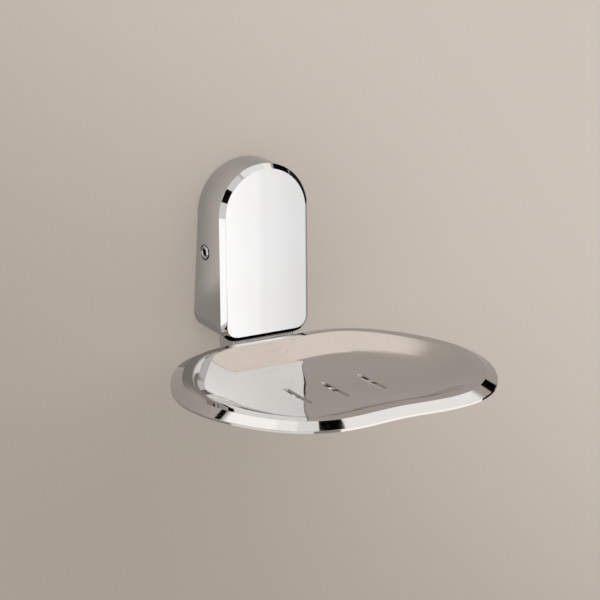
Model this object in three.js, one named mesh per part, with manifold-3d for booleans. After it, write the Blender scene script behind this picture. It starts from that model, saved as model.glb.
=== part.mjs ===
// A wall-mounted soap dish: an arched cover over a wall bracket, an arm below it, and an oval dish on the arm.
// Millimetres. X runs to the right, Y runs into the wall and Z runs up.
// The wall's face is the plane Y = 0, and the origin is the middle of the bracket's back.
import * as THREE from "three";
import { mergeVertices } from "three/addons/utils/BufferGeometryUtils.js";
import Module from "manifold-3d";

const wasm = await Module();
wasm.setup();

// Clearances and facets
const seatGap = 0.3; // between a piece and what it sits on, faces or passes through
const overrun = 1; // how far a cutting tool runs past what it cuts, and a boss into its wall
const roundSides = 32;
const smallSides = 16;
const socketSides = 6;
const headSteps = 5; // over a screw head's dome
const edgeSteps = 2; // over the arm's rounded edges
const outlineSteps = 80;

// Cover, from the front
const coverWidth = 42; // at the outer edge of its front bevel
const coverHeight = 75;
const coverDepth = 19; // wall to front face
const coverBevel = 2.1; // 45 degrees, all round the front face
const coverWall = 2.2;
const coverCorner = 7; // radius of the lower corners at the bevel
const coverBackCorner = 8.5; // the same at the wall
const coverFlareTop = 1.4; // how much wider each side is at the wall, level with the arch
const coverFlareBottom = 4.2; // the same at the foot
const coverUndercut = 2.6; // how much higher the underside is at the wall
const cornerSteps = 8;
const sideSteps = 6;
const archSteps = 32;

// Wall bracket
const bracketEndMargin = 9.5; // from the cover's top and foot in to the plate's ends
const bracketThickness = 2;
const bracketCorner = 5;
const bracketHoleMargin = 9; // from the plate's ends in to its holes
const bracketLedge = 1; // how much wider the plate is than its block, on each side
const blockMargin = 9; // from the cover's front outline in to the side of the block that it clamps on
const blockHeight = 14;
const blockReach = 12; // wall to the block's front

// Set screw in the cover's left side
const setScrewRadius = 3;
const setScrewDepth = 6.5; // wall to its axis
const setScrewProud = 0.4; // how far its head stands out of the cover's side
const setScrewChamfer = 0.5;
const setScrewPoint = 1; // length of the cone at its tip
const setScrewSocket = 3; // across the flats of the hexagonal socket
const setScrewSocketDepth = 3.5;
const setScrewBossRadius = 5.5;
const setScrewBossGap = 1.3; // from the boss's end to the plate's side
const clampRibHeight = 10; // the rib on the cover's right side that the block bears on

// Wall screws, their washers and plugs
const wallScrewRadius = 2;
const wallScrewHeadRadius = 4;
const wallScrewHeadHeight = 2.6;
const wallScrewLength = 36;
const wallScrewPoint = 4; // length of its tapered end
const wallScrewTip = 0.5; // radius at the very tip
const washerRadius = 5;
const washerThickness = 1;
const plugWall = 0.7;
const plugLength = 30;
const plugRibs = 6;
const plugRibDepth = 0.3;
const plugCollarLength = 3;

// Screws that hold the arm to the cover and the dish to the arm
const screwRadius = 2;
const screwHeadRadius = 3.5;
const screwHeadHeight = 2.2;
const screwPoint = 0.6; // 45 degree chamfer at the tip
const recessWidth = 0.9; // cross recess, in every cross-headed screw
const recessSpanShare = 1.1; // of the head's radius
const recessDepthShare = 0.6; // of the head's height
const armScrewEdge = 5.5; // from the arm's side in to its screws
const armScrewBossRadius = 4;
const armScrewLand = 1.5; // left of the boss beyond the screw's tip
const dishScrewEdge = 6.5; // from the arm's side in to the dish's screws
const dishScrewGrip = 3.4; // length of thread in the boss

// Arm: an upright plate in the cover, a neck out of the cover's underside, a tongue under the dish
const armWidth = 29;
const armPlate = 3;
const armClearance = 1.2; // from the wall screws' heads out to the arm
const armTopGap = 6; // from the bracket's block down to the upright's top
const armScrewDrop = 9; // from the upright's top down to its screws
const neckGap = 2.5; // wall to the neck's back
const neckRise = 5.5; // how far the neck reaches up inside the cover
const neckNotchGap = 0.4; // between the neck and the notch in the cover
const neckNotchWeb = 0.4; // left between the notch and the cover's bevel
const armEdge = 0.8; // rounding of the arm's edges
const tongueThickness = 4;
const tongueReach = 56; // wall to the tongue's tip
const tongueFlat = 22; // length of its level end
const armSteps = 6;

// Dish: the outline is a round that harmonics press into a broad oval with a slightly hollow front
const dishRadius = 63; // mean radius of the outline
const dishStandOff = 17.6; // wall to the outline's back, on the middle line
const dishLift = 0.6; // from the cover's lowest edge up to the rim's crest
const outlineHarmonicShares = [
  [2, -0.079],
  [3, -0.011],
  [4, -0.032],
  [6, -0.017],
];
const dishSheet = 1.4;
const rimLip = 0.9; // upright edge at the very outside
const rimChamferRun = 4.75;
const rimChamferDrop = 2.4;
const rimTopRun = 3.95; // from the chamfer in to the crest
const rimTopDrop = 0.2;
const bowlWallRun = 18; // from the crest in to the floor's edge
const bowlWallDrop = 5.6;
const bowlFloorDrop = 1.9; // from the floor's edge to its middle
// The bowl's wall, as shares of its run and of its drop
const bowlWallShares = [
  [0.1, 0.05],
  [0.25, 0.22],
  [0.45, 0.49],
  [0.65, 0.755],
  [0.83, 0.93],
  [1, 1],
];
const floorRingShares = [0.25, 0.5, 0.75]; // from the floor's edge to its middle
const dishBossRadius = 4.5;
const dishBossDrop = 3.3; // below the bowl's underside

// Drain slots
const slotCount = 3;
const slotPitch = 17.2;
const slotWidth = 2.2;
const slotLength = 18.7; // between the centres of its round ends
const slotLead = 7.3; // from the centre of the rear end out to the outline's middle

// Derived places; a depth is a distance out from the wall
const coverTop = coverHeight / 2;
const coverBottom = -coverHeight / 2;
const coverHalf = coverWidth / 2;
const coverInnerFace = coverDepth - coverWall;
const washerSeat = bracketThickness + seatGap;
const wallScrewSeat = washerSeat + washerThickness + seatGap;
const plugRadius = wallScrewRadius + seatGap + plugWall;
const bracketHoleRadius = plugRadius + seatGap;
const bracketHeight = coverHeight - 2 * bracketEndMargin;
const bracketHoleSpacing = bracketHeight - 2 * bracketHoleMargin;
const bracketHoleHeights = [bracketHoleSpacing / 2, -bracketHoleSpacing / 2];
const blockHalf = coverHalf - blockMargin;
const bracketWidth = 2 * (blockHalf + bracketLedge);
const armBack = wallScrewSeat + wallScrewHeadHeight + armClearance;
const armFront = armBack + armPlate;
const armScrewGrip = coverInnerFace - armScrewLand - armFront - seatGap;
const armScrewSpacing = armWidth - 2 * armScrewEdge;
const dishScrewSpacing = armWidth - 2 * dishScrewEdge;
const armTop = -blockHeight / 2 - armTopGap;
const armScrewHeight = armTop - armScrewDrop;
const neckTop = coverBottom + neckRise;
const crestHeight = coverBottom + dishLift;
const crestInset = rimChamferRun + rimTopRun;
const floorInset = crestInset + bowlWallRun;
const rimHeight = rimTopDrop + rimChamferDrop + rimLip;
const bowlDepth = bowlWallDrop + bowlFloorDrop;
const dishCentre = dishStandOff + outlineRadius(Math.PI);
const dishNeckBack = Math.min(dishStandOff, outlineBack(armWidth / 2));
const slotStart = dishCentre - slotLead;
const notchFront = coverDepth - coverBevel - neckNotchWeb;
const neckFront = Math.min(notchFront - neckNotchGap, dishNeckBack - seatGap);
const dishUnderside = crestHeight - bowlDepth - dishSheet;
const dishBossBottom = dishUnderside - dishBossDrop;
const tongueTop = dishBossBottom - seatGap;
const tongueBottom = tongueTop - tongueThickness;
const dishScrewDepth = tongueReach - tongueFlat / 2;
const setScrewTip = -blockHalf - seatGap;
const setScrewHead = -coverSide(0, setScrewDepth) - setScrewProud;

// The dish outline's distance from its middle, at an angle from the front
function outlineRadius(angle) {
  let share = 1;
  for (const [order, size] of outlineHarmonicShares) {
    share += size * Math.cos(order * angle);
  }
  return dishRadius * share;
}

function outlineSlope(angle) {
  let share = 0;
  for (const [order, size] of outlineHarmonicShares) {
    share -= order * size * Math.sin(order * angle);
  }
  return dishRadius * share;
}

// How far from the wall the outline's back runs, at a distance from the middle line
function outlineBack(x) {
  const angle = Math.PI - Math.asin(x / outlineRadius(Math.PI));
  return dishCentre + outlineRadius(angle) * Math.cos(angle);
}

// The cover's half width at a height and a depth: its side is straight from the wall to the bevel
function coverSide(height, depth) {
  const spring = coverTop - coverHalf - coverFlareTop;
  const foot = coverBottom + coverUndercut + coverBackCorner;
  const fall = (spring - height) / (spring - foot);
  const flare = coverFlareTop + (coverFlareBottom - coverFlareTop) * fall;
  const bevelDepth = coverDepth - coverBevel;
  return coverHalf + flare * (1 - depth / bevelDepth);
}

// A point at X, a distance out from the wall, and Z
function at(x, depth, z) {
  return new THREE.Vector3(x, -depth, z);
}

// A closed geometry from points and faces, turned so that the faces look out
function closedGeometry(positions, faces) {
  let volume = 0;
  const corners = [new THREE.Vector3(), new THREE.Vector3(), new THREE.Vector3()];
  for (let i = 0; i < faces.length; i += 3) {
    corners.forEach((corner, k) => corner.fromArray(positions, 3 * faces[i + k]));
    volume += corners[0].dot(corners[1].cross(corners[2]));
  }
  const outward = volume < 0 ? [...faces].reverse() : faces;
  const geometry = new THREE.BufferGeometry();
  geometry.setAttribute("position", new THREE.Float32BufferAttribute(positions, 3));
  geometry.setIndex(outward);
  return geometry;
}

// Rings of equally many points joined in turn, and closed at both ends by a fan round a point
function loft(rings, firstPoint, lastPoint) {
  const count = rings[0].length;
  const points = [firstPoint, ...rings.flat(), lastPoint];
  const positions = points.flatMap((point) => point.toArray());
  const last = points.length - 1;
  const faces = [];
  for (let i = 0; i < count; i += 1) {
    const next = (i + 1) % count;
    faces.push(0, 1 + next, 1 + i);
    for (let ring = 0; ring < rings.length - 1; ring += 1) {
      const here = 1 + ring * count;
      const there = here + count;
      faces.push(here + i, here + next, there + next);
      faces.push(here + i, there + next, there + i);
    }
    const end = 1 + (rings.length - 1) * count;
    faces.push(end + i, end + next, last);
  }
  return closedGeometry(positions, faces);
}

function solidOf(geometry) {
  const bare = geometry.clone();
  bare.deleteAttribute("normal");
  bare.deleteAttribute("uv");
  const merged = mergeVertices(bare);
  const closed = closedGeometry([...merged.attributes.position.array], [...merged.index.array]);
  return new wasm.Manifold(
    new wasm.Mesh({
      numProp: 3,
      vertProperties: closed.attributes.position.array,
      triVerts: Uint32Array.from(closed.index.array),
    }),
  );
}

function geometryOf(solid) {
  const mesh = solid.getMesh();
  const geometry = new THREE.BufferGeometry();
  geometry.setAttribute("position", new THREE.BufferAttribute(mesh.vertProperties, 3));
  geometry.setIndex(new THREE.BufferAttribute(mesh.triVerts, 1));
  geometry.computeVertexNormals();
  return geometry;
}

// A round bar between two points
function bar(radius, from, to, sides = roundSides) {
  const along = to.clone().sub(from);
  const geometry = new THREE.CylinderGeometry(radius, radius, along.length(), sides);
  const turn = new THREE.Quaternion();
  turn.setFromUnitVectors(new THREE.Vector3(0, 1, 0), along.normalize());
  geometry.applyQuaternion(turn);
  geometry.translate(...from.clone().add(to).divideScalar(2).toArray());
  return solidOf(geometry);
}

function block(low, high) {
  const size = high.clone().sub(low);
  const geometry = new THREE.BoxGeometry(Math.abs(size.x), Math.abs(size.y), Math.abs(size.z));
  geometry.translate(...low.clone().add(high).divideScalar(2).toArray());
  return solidOf(geometry);
}

// A turned piece: the profile is radius and distance along +Y
function turned(profile, sides = smallSides) {
  const points = profile.map(([radius, along]) => new THREE.Vector2(radius, along));
  return solidOf(new THREE.LatheGeometry(points, sides));
}

// Outline of the cover: a semicircle on straight sides, with round lower corners
function archOutline(halfTop, halfBottom, corner, top, bottom) {
  const outline = [];
  const spring = top - halfTop;
  const cornerX = halfBottom - corner;
  const cornerZ = bottom + corner;
  for (let step = 0; step <= cornerSteps; step += 1) {
    const angle = (step / cornerSteps - 1) * (Math.PI / 2);
    outline.push([cornerX + corner * Math.cos(angle), cornerZ + corner * Math.sin(angle)]);
  }
  for (let step = 1; step < sideSteps; step += 1) {
    const share = step / sideSteps;
    outline.push([halfBottom + (halfTop - halfBottom) * share, cornerZ + (spring - cornerZ) * share]);
  }
  for (let step = 0; step <= archSteps; step += 1) {
    const angle = (step / archSteps) * Math.PI;
    outline.push([halfTop * Math.cos(angle), spring + halfTop * Math.sin(angle)]);
  }
  for (let step = 1; step < sideSteps; step += 1) {
    const share = step / sideSteps;
    outline.push([-halfTop + (halfTop - halfBottom) * share, spring + (cornerZ - spring) * share]);
  }
  for (let step = 0; step <= cornerSteps; step += 1) {
    const angle = Math.PI + (step / cornerSteps) * (Math.PI / 2);
    outline.push([-cornerX + corner * Math.cos(angle), cornerZ + corner * Math.sin(angle)]);
  }
  return outline;
}

function coverShell() {
  // The outline at the wall and at the bevel, drawn in by an inset
  const backRing = (inset, depth) =>
    archOutline(
      coverHalf + coverFlareTop - inset,
      coverHalf + coverFlareBottom - inset,
      coverBackCorner - inset,
      coverTop - inset,
      coverBottom + coverUndercut + inset,
    ).map(([x, z]) => at(x, depth, z));
  const frontRing = (inset, depth) =>
    archOutline(
      coverHalf - inset,
      coverHalf - inset,
      coverCorner - inset,
      coverTop - inset,
      coverBottom + inset,
    ).map(([x, z]) => at(x, depth, z));
  const shell = solidOf(
    loft(
      [
        frontRing(coverBevel, coverDepth),
        frontRing(0, coverDepth - coverBevel),
        backRing(0, seatGap),
        backRing(coverWall, seatGap),
        frontRing(coverWall, coverInnerFace),
      ],
      at(0, coverDepth, 0),
      at(0, coverInnerFace, 0),
    ),
  );

  // Inside: a threaded boss for the set screw, a rib opposite it, and two bosses for the arm
  const side = coverSide(0, setScrewDepth);
  const bossEnd = blockHalf + bracketLedge + setScrewBossGap;
  const threadBoss = bar(
    setScrewBossRadius,
    at(-side + coverWall - overrun, setScrewDepth, 0),
    at(-bossEnd, setScrewDepth, 0),
  );
  const clampRib = block(
    at(blockHalf + seatGap, washerSeat, -clampRibHeight / 2),
    at(coverHalf - overrun, coverInnerFace + overrun, clampRibHeight / 2),
  );
  let cover = shell.add(threadBoss).add(clampRib);
  for (const x of [-armScrewSpacing / 2, armScrewSpacing / 2]) {
    const bossTop = at(x, armFront + seatGap, armScrewHeight);
    const bossFoot = at(x, coverInnerFace + overrun, armScrewHeight);
    const holeStart = at(x, armFront - overrun, armScrewHeight);
    const holeEnd = at(x, armFront + armScrewGrip + 2 * seatGap, armScrewHeight);
    cover = cover.add(bar(armScrewBossRadius, bossFoot, bossTop));
    cover = cover.subtract(bar(screwRadius + seatGap, holeStart, holeEnd, smallSides));
  }

  // The set screw's hole, and the notch that the neck comes out of
  const screwHole = bar(
    setScrewRadius + seatGap,
    at(setScrewHead - overrun, setScrewDepth, 0),
    at(-bossEnd + overrun, setScrewDepth, 0),
  );
  const notchHalf = armWidth / 2 + neckNotchGap;
  const notch = block(
    at(-notchHalf, -overrun, coverBottom - overrun),
    at(notchHalf, notchFront, coverBottom + coverUndercut + coverWall + overrun),
  );
  return geometryOf(cover.subtract(screwHole).subtract(notch));
}

// A flat piece drawn in X and Z, from one depth to another
function plate(shape, fromDepth, toDepth) {
  const geometry = new THREE.ExtrudeGeometry(shape, {
    depth: toDepth - fromDepth,
    bevelEnabled: false,
    curveSegments: cornerSteps,
  });
  geometry.translate(0, 0, fromDepth);
  geometry.rotateX(Math.PI / 2);
  return solidOf(geometry);
}

function roundedRectangle(width, height, radius) {
  const shape = new THREE.Shape();
  const x = width / 2 - radius;
  const z = height / 2 - radius;
  shape.absarc(x, z, radius, 0, Math.PI / 2);
  shape.absarc(-x, z, radius, Math.PI / 2, Math.PI);
  shape.absarc(-x, -z, radius, Math.PI, 1.5 * Math.PI);
  shape.absarc(x, -z, radius, 1.5 * Math.PI, 2 * Math.PI);
  return shape;
}

function wallBracket() {
  let bracket = plate(
    roundedRectangle(bracketWidth, bracketHeight, bracketCorner),
    0,
    bracketThickness,
  );
  const clampBlock = block(
    at(-blockHalf, bracketThickness / 2, -blockHeight / 2),
    at(blockHalf, blockReach, blockHeight / 2),
  );
  bracket = bracket.add(clampBlock);
  for (const height of bracketHoleHeights) {
    const hole = bar(
      bracketHoleRadius,
      at(0, -overrun, height),
      at(0, bracketThickness + overrun, height),
    );
    bracket = bracket.subtract(hole);
  }
  return geometryOf(bracket);
}

// A screw along +Y with a domed head and a cross recess; the head's seat is at Y = 0
function crossScrew({ radius, headRadius, headHeight, length, point, tip }) {
  const profile = [[0, -headHeight]];
  for (let step = 1; step <= headSteps; step += 1) {
    const angle = (step / headSteps) * (Math.PI / 2);
    profile.push([headRadius * Math.sin(angle), -headHeight * Math.sqrt(Math.cos(angle))]);
  }
  profile.push([radius, 0], [radius, length - point], [tip, length], [0, length]);
  let screw = turned(profile);
  const span = headRadius * recessSpanShare;
  const recessFloor = -headHeight * (1 - recessDepthShare);
  const slots = [
    [span, recessWidth],
    [recessWidth, span],
  ];
  for (const [width, height] of slots) {
    const low = new THREE.Vector3(-width / 2, -headHeight - overrun, -height / 2);
    const high = new THREE.Vector3(width / 2, recessFloor, height / 2);
    screw = screw.subtract(block(low, high));
  }
  return geometryOf(screw);
}

// A washer along +Y
function washer() {
  const inner = wallScrewRadius + seatGap;
  return geometryOf(
    turned([
      [inner, 0],
      [washerRadius, 0],
      [washerRadius, washerThickness],
      [inner, washerThickness],
      [inner, 0],
    ]),
  );
}

// A ribbed nylon plug along +Y, open from end to end for its screw
function wallPlug() {
  const inner = wallScrewRadius + seatGap;
  const ribLength = (plugLength - plugCollarLength) / plugRibs;
  const profile = [
    [inner, 0],
    [plugRadius, 0],
    [plugRadius, plugCollarLength],
  ];
  for (let rib = 0; rib < plugRibs; rib += 1) {
    const start = plugCollarLength + rib * ribLength;
    profile.push([plugRadius - plugRibDepth, start + plugRibDepth]);
    profile.push([plugRadius, start + ribLength]);
  }
  profile.push([inner, plugLength], [inner, 0]);
  return geometryOf(turned(profile));
}

// The set screw along +Y from its socket end, with a cone at its tip
function setScrew() {
  const length = setScrewTip - setScrewHead;
  const screw = turned([
    [0, 0],
    [setScrewRadius - setScrewChamfer, 0],
    [setScrewRadius, setScrewChamfer],
    [setScrewRadius, length - setScrewPoint],
    [setScrewRadius - setScrewPoint, length],
    [0, length],
  ]);
  const socketRadius = setScrewSocket / 2 / Math.cos(Math.PI / socketSides);
  const socketStart = new THREE.Vector3(0, -overrun, 0);
  const socketEnd = new THREE.Vector3(0, setScrewSocketDepth, 0);
  return geometryOf(screw.subtract(bar(socketRadius, socketStart, socketEnd, socketSides)));
}

function supportArm() {
  // The side view, drawn in depth and Z, drawn in so that the rounded edges end at the full size
  const tipRadius = tongueThickness / 2;
  const shoulder = crestHeight - rimHeight - seatGap;
  const flatStart = tongueReach - tongueFlat;
  const tipMiddle = (tongueTop + tongueBottom) / 2;
  const shape = new THREE.Shape();
  shape.moveTo(armBack, armTop);
  shape.lineTo(armBack, neckTop);
  shape.lineTo(neckGap, neckTop);
  shape.lineTo(neckGap, shoulder);
  shape.quadraticCurveTo(neckGap, tongueBottom, flatStart, tongueBottom);
  shape.lineTo(tongueReach - tipRadius, tongueBottom);
  shape.absarc(tongueReach - tipRadius, tipMiddle, tipRadius, -Math.PI / 2, Math.PI / 2);
  shape.lineTo(flatStart, tongueTop);
  shape.quadraticCurveTo(neckFront, tongueTop, neckFront, shoulder);
  shape.lineTo(neckFront, neckTop);
  shape.lineTo(armFront, neckTop);
  shape.lineTo(armFront, armTop);
  shape.closePath();
  const geometry = new THREE.ExtrudeGeometry(shape, {
    depth: armWidth - 2 * armEdge,
    bevelEnabled: true,
    bevelThickness: armEdge,
    bevelSize: armEdge,
    bevelOffset: -armEdge,
    bevelSegments: edgeSteps,
    curveSegments: armSteps,
  });
  geometry.translate(0, 0, armEdge - armWidth / 2);
  const outward = new THREE.Vector3(0, -1, 0);
  const upward = new THREE.Vector3(0, 0, 1);
  const sideways = new THREE.Vector3(-1, 0, 0);
  geometry.applyMatrix4(new THREE.Matrix4().makeBasis(outward, upward, sideways));
  let arm = solidOf(geometry);
  const holeRadius = screwRadius + seatGap;
  for (const x of [-armScrewSpacing / 2, armScrewSpacing / 2]) {
    const start = at(x, armBack - overrun, armScrewHeight);
    const end = at(x, armFront + overrun, armScrewHeight);
    arm = arm.subtract(bar(holeRadius, start, end, smallSides));
  }
  for (const x of [-dishScrewSpacing / 2, dishScrewSpacing / 2]) {
    const start = at(x, dishScrewDepth, tongueBottom - overrun);
    const end = at(x, dishScrewDepth, tongueTop + overrun);
    arm = arm.subtract(bar(holeRadius, start, end, smallSides));
  }
  return geometryOf(arm);
}

// The height of the bowl's floor on its middle line, at a depth
function floorHeight(depth) {
  const edge = dishStandOff + floorInset;
  const share = (depth - edge) / (dishCentre - edge);
  return crestHeight - bowlWallDrop - bowlFloorDrop * (1 - (1 - share) ** 2);
}

// The dish's upper profile, from its outer edge to the floor's edge: inset from the outline, and height
function dishProfile() {
  const profile = [
    [0, -rimTopDrop - rimChamferDrop],
    [rimChamferRun, -rimTopDrop],
    [crestInset, 0],
  ];
  for (const [runShare, dropShare] of bowlWallShares) {
    profile.push([crestInset + bowlWallRun * runShare, -bowlWallDrop * dropShare]);
  }
  return profile;
}

// The same profile moved down through the sheet, square to its surface
function lowerProfile(profile) {
  const lower = [[dishSheet, -rimHeight]];
  for (let i = 1; i < profile.length; i += 1) {
    const before = profile[i - 1];
    const after = profile[Math.min(i + 1, profile.length - 1)];
    const run = after[0] - before[0];
    const rise = after[1] - before[1];
    const reach = Math.hypot(run, rise);
    lower.push([
      profile[i][0] + (dishSheet * rise) / reach,
      profile[i][1] - (dishSheet * run) / reach,
    ]);
  }
  return lower;
}

// One ring of the dish: the outline drawn in by an inset, at a height over the crest
function dishRing(inset, height) {
  const ring = [];
  for (let step = 0; step < outlineSteps; step += 1) {
    const angle = (step / outlineSteps) * 2 * Math.PI;
    const radius = outlineRadius(angle);
    const slope = outlineSlope(angle);
    const acrossX = radius * Math.sin(angle) - slope * Math.cos(angle);
    const acrossDepth = radius * Math.cos(angle) + slope * Math.sin(angle);
    const reach = Math.hypot(acrossX, acrossDepth);
    const x = radius * Math.sin(angle) - (inset * acrossX) / reach;
    const depth = dishCentre + radius * Math.cos(angle) - (inset * acrossDepth) / reach;
    ring.push(at(x, depth, crestHeight + height));
  }
  return ring;
}

// Rings from the floor's edge towards its middle; the floor falls ever more gently
function floorRings(edge, drop) {
  const centre = at(0, dishCentre, edge[0].z);
  return floorRingShares.map((share) =>
    edge.map((point) => {
      const inner = point.clone().lerp(centre, share);
      inner.z -= drop * (1 - (1 - share) ** 2);
      return inner;
    }),
  );
}

function soapTray() {
  const upper = dishProfile();
  const lower = lowerProfile(upper);
  const upperRings = upper.map(([inset, height]) => dishRing(inset, height));
  const lowerRings = lower.map(([inset, height]) => dishRing(inset, height));
  const upperFloor = floorRings(upperRings.at(-1), bowlFloorDrop);
  const lowerFloor = floorRings(lowerRings.at(-1), bowlFloorDrop);
  const lowerMiddle = lowerRings.at(-1)[0].z - bowlFloorDrop;
  let tray = solidOf(
    loft(
      [
        ...upperFloor.toReversed(),
        ...upperRings.toReversed(),
        dishRing(0, -rimHeight),
        ...lowerRings,
        ...lowerFloor,
      ],
      at(0, dishCentre, crestHeight - bowlDepth),
      at(0, dishCentre, lowerMiddle),
    ),
  );

  // Two bosses under the bowl take the screws through the arm
  for (const x of [-dishScrewSpacing / 2, dishScrewSpacing / 2]) {
    const foot = at(x, dishScrewDepth, dishBossBottom);
    const head = at(x, dishScrewDepth, floorHeight(dishScrewDepth) - dishSheet / 2);
    const holeStart = at(x, dishScrewDepth, dishBossBottom - overrun);
    const holeEnd = at(x, dishScrewDepth, dishBossBottom + dishScrewGrip);
    tray = tray.add(bar(dishBossRadius, foot, head));
    tray = tray.subtract(bar(screwRadius + seatGap, holeStart, holeEnd, smallSides));
  }

  // The drain slots
  for (let slot = 0; slot < slotCount; slot += 1) {
    const x = (slot - (slotCount - 1) / 2) * slotPitch;
    const shape = new THREE.Shape();
    shape.absarc(x, -slotStart, slotWidth / 2, 0, Math.PI);
    shape.absarc(x, -slotStart - slotLength, slotWidth / 2, Math.PI, 2 * Math.PI);
    const geometry = new THREE.ExtrudeGeometry(shape, {
      depth: bowlDepth + dishSheet + 2 * overrun,
      bevelEnabled: false,
      curveSegments: cornerSteps,
    });
    geometry.translate(0, 0, dishUnderside - overrun);
    tray = tray.subtract(solidOf(geometry));
  }
  return geometryOf(tray);
}

const chrome = { color: 0xd6d7d8, metalness: 1, roughness: 0.05 };
const zincPlate = { color: 0xa9abad, metalness: 1, roughness: 0.35 };
const nylon = { color: 0xc9cacc, metalness: 0, roughness: 0.6 };

function named(name, geometry, finish) {
  const mesh = new THREE.Mesh(geometry, new THREE.MeshStandardMaterial(finish));
  mesh.name = name;
  return mesh;
}

// What stays on the wall
const wallSide = new THREE.Group();
wallSide.add(named("wall_bracket", wallBracket(), zincPlate));
const wallScrewGeometry = crossScrew({
  radius: wallScrewRadius,
  headRadius: wallScrewHeadRadius,
  headHeight: wallScrewHeadHeight,
  length: wallScrewLength,
  point: wallScrewPoint,
  tip: wallScrewTip,
});
const washerGeometry = washer();
const plugGeometry = wallPlug();
["upper", "lower"].forEach((place, i) => {
  const screw = named(`${place}_wall_screw`, wallScrewGeometry, zincPlate);
  screw.position.copy(at(0, wallScrewSeat, bracketHoleHeights[i]));
  const ring = named(`${place}_washer`, washerGeometry, zincPlate);
  ring.position.copy(at(0, washerSeat + washerThickness, bracketHoleHeights[i]));
  const plug = named(`${place}_wall_plug`, plugGeometry, nylon);
  plug.position.copy(at(0, -seatGap, bracketHoleHeights[i]));
  wallSide.add(screw, ring, plug);
});

// What comes off the wall with the dish
const holder = new THREE.Group();
holder.add(named("cover_shell", coverShell(), chrome));
holder.add(named("support_arm", supportArm(), chrome));
holder.add(named("soap_tray", soapTray(), chrome));
const machineScrew = {
  radius: screwRadius,
  headRadius: screwHeadRadius,
  headHeight: screwHeadHeight,
  point: screwPoint,
  tip: screwRadius - screwPoint,
};
const armScrewLength = seatGap + armPlate + seatGap + armScrewGrip;
const dishScrewLength = seatGap + tongueThickness + dishScrewGrip;
const armScrewGeometry = crossScrew({ ...machineScrew, length: armScrewLength });
const dishScrewGeometry = crossScrew({ ...machineScrew, length: dishScrewLength });
["left", "right"].forEach((place, i) => {
  const armScrew = named(`${place}_arm_screw`, armScrewGeometry, zincPlate);
  armScrew.position.copy(at((i - 1 / 2) * armScrewSpacing, armBack - seatGap, armScrewHeight));
  armScrew.rotation.z = Math.PI;
  const dishScrew = named(`${place}_dish_screw`, dishScrewGeometry, zincPlate);
  dishScrew.position.copy(at((i - 1 / 2) * dishScrewSpacing, dishScrewDepth, tongueBottom - seatGap));
  dishScrew.rotation.x = Math.PI / 2;
  holder.add(armScrew, dishScrew);
});
const grubScrew = named("set_screw", setScrew(), chrome);
grubScrew.position.copy(at(setScrewHead, setScrewDepth, 0));
grubScrew.rotation.z = -Math.PI / 2;
holder.add(grubScrew);

const soapDish = new THREE.Group();
soapDish.add(wallSide, holder);
export default soapDish;
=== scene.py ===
# Looks for the wall-mounted soap dish: fine meshes over the imported frame, a wall with painted shade, and
# studio cards, some of which paint highlights, reflections and shade into the chrome.
# Metres. X runs to the right, Y into the wall and Z up; a depth is a distance out from the wall.
import math

import bpy
import numpy as np
from mathutils import Matrix, Vector
from mathutils.bvhtree import BVHTree


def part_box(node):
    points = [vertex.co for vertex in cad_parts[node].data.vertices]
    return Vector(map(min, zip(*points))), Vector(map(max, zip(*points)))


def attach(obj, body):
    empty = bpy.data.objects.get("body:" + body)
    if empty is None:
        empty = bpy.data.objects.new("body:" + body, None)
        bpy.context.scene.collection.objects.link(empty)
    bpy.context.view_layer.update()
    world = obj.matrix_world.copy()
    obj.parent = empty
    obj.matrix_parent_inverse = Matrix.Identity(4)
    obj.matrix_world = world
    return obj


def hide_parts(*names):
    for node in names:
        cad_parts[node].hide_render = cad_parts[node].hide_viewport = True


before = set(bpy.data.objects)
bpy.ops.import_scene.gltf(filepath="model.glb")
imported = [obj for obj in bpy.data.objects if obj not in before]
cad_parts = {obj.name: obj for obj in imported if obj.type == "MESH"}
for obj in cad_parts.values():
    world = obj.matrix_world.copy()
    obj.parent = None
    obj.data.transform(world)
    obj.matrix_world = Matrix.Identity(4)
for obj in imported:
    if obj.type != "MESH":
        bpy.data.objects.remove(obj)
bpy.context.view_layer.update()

MM = 0.001
FULL_TURN = 2 * math.pi
HALF_TURN = math.pi
QUARTER_TURN = math.pi / 2
NEUTRAL = (1, 1, 1)

# Camera, fitted to the photograph
IMAGE_SIDE = 600
FOCAL_PIXELS = 2000
SENSOR_WIDTH = 36
CAMERA_YAW = math.radians(29.6)
CAMERA_PITCH = math.radians(16.28)
CAMERA_ROLL = math.radians(-0.41)
CAMERA_REACH = 851.8 * MM
CAMERA_NEAR = 0.01
CAMERA_FAR = 20
ORIGIN_COLUMN = 244.85
ORIGIN_ROW = 242.02

# Wall, lamp and room
WALL_REACH = 2.5
WALL_GAP = 0.2 * MM
# The wall's colour is painted shade and light, darker at the lower left and lighter at the upper right,
# standing in for how the light falls across it; part of that colour glows
WALL_DARK = (0.402, 0.352, 0.304)
WALL_LIGHT = (0.607, 0.545, 0.487)
WALL_TONE_ANGLE = math.radians(46.5)
WALL_TONE_MIDDLE = -14.6 * MM
WALL_TONE_WIDTH = 310.6 * MM
WALL_GLOW_SHARE = 0.45
WALL_ROUGHNESS = 0.9
WALL_GRAIN_NOISE = (900, 3)
WALL_GRAIN_DEPTH = 0.02 * MM
WALL_GRAIN_STRENGTH = 0.2
LAMP_PLACE = (0.8, -2.0, 1.3)
LAMP_SIDE = 2.4
LAMP_POWER = 8
EVEN_LIGHT = 0.93
ROOM_TINT_SHARES = (1.1, 1.0, 0.92)
ROOM_LEFT = 0.82
ROOM_RIGHT = 1.12
# Elevation in degrees and tone
ROOM_TONES = [
    (-90, 0.02),
    (-50, 0.04),
    (-38, 0.26),
    (-12, 0.36),
    (20, 0.37),
    (40, 0.43),
    (58, 0.52),
    (75, 0.6),
]

# Panels that the chrome reflects
STUDIO_MIDDLE = Vector((0, -0.06, -0.02))
PANEL_STEPS = 32
PANEL_DISTANCE = 3.0
PANEL_SPACING = 0.02
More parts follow.
